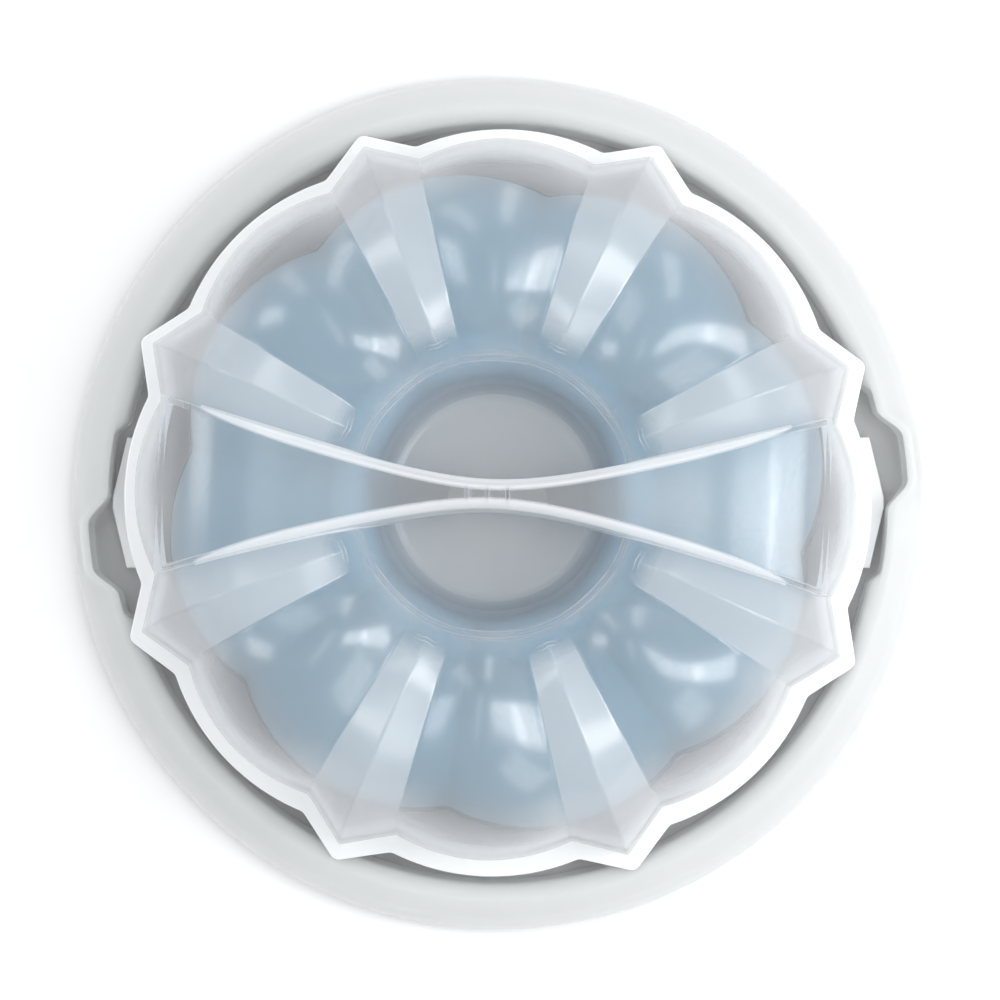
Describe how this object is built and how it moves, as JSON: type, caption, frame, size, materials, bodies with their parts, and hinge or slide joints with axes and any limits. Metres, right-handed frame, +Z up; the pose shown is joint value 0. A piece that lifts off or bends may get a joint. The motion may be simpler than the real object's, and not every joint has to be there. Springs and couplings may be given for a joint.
{
  "type": "fluted ring mould keeper",
  "caption": "Fluted ring mould standing on a round channelled tray under a translucent fluted cover with a handle moulded across its well and a twist lock.",
  "frame": {"origin": "middle of the tray's underside, on the surface it stands on", "axes": "+Z up, X along the cover's handle, Y across it through the two finger wells"},
  "size_m": [0.33, 0.3298, 0.16],
  "materials": {
    "white_plastic": "smooth satin moulded plastic",
    "blue_grey_silicone": "smooth satin silicone",
    "translucent_plastic": "glossy translucent moulded plastic, milky where it is thick or steep"
  },
  "bodies": {
    "base": {"tray": "white_plastic"},
    "mould": {"ring_mould": "blue_grey_silicone"},
    "lid": {"cover": "translucent_plastic"}
  },
  "joints": [
    {"name": "mould_lift", "type": "slide", "parent": "base", "child": "mould", "axis": [0, 0, 1], "range_m": [0, 0.15]},
    {"name": "cover_lift", "type": "slide", "parent": "mould", "child": "lid", "axis": [0, 0, 1], "range_m": [0, 0.18]}
  ]
}
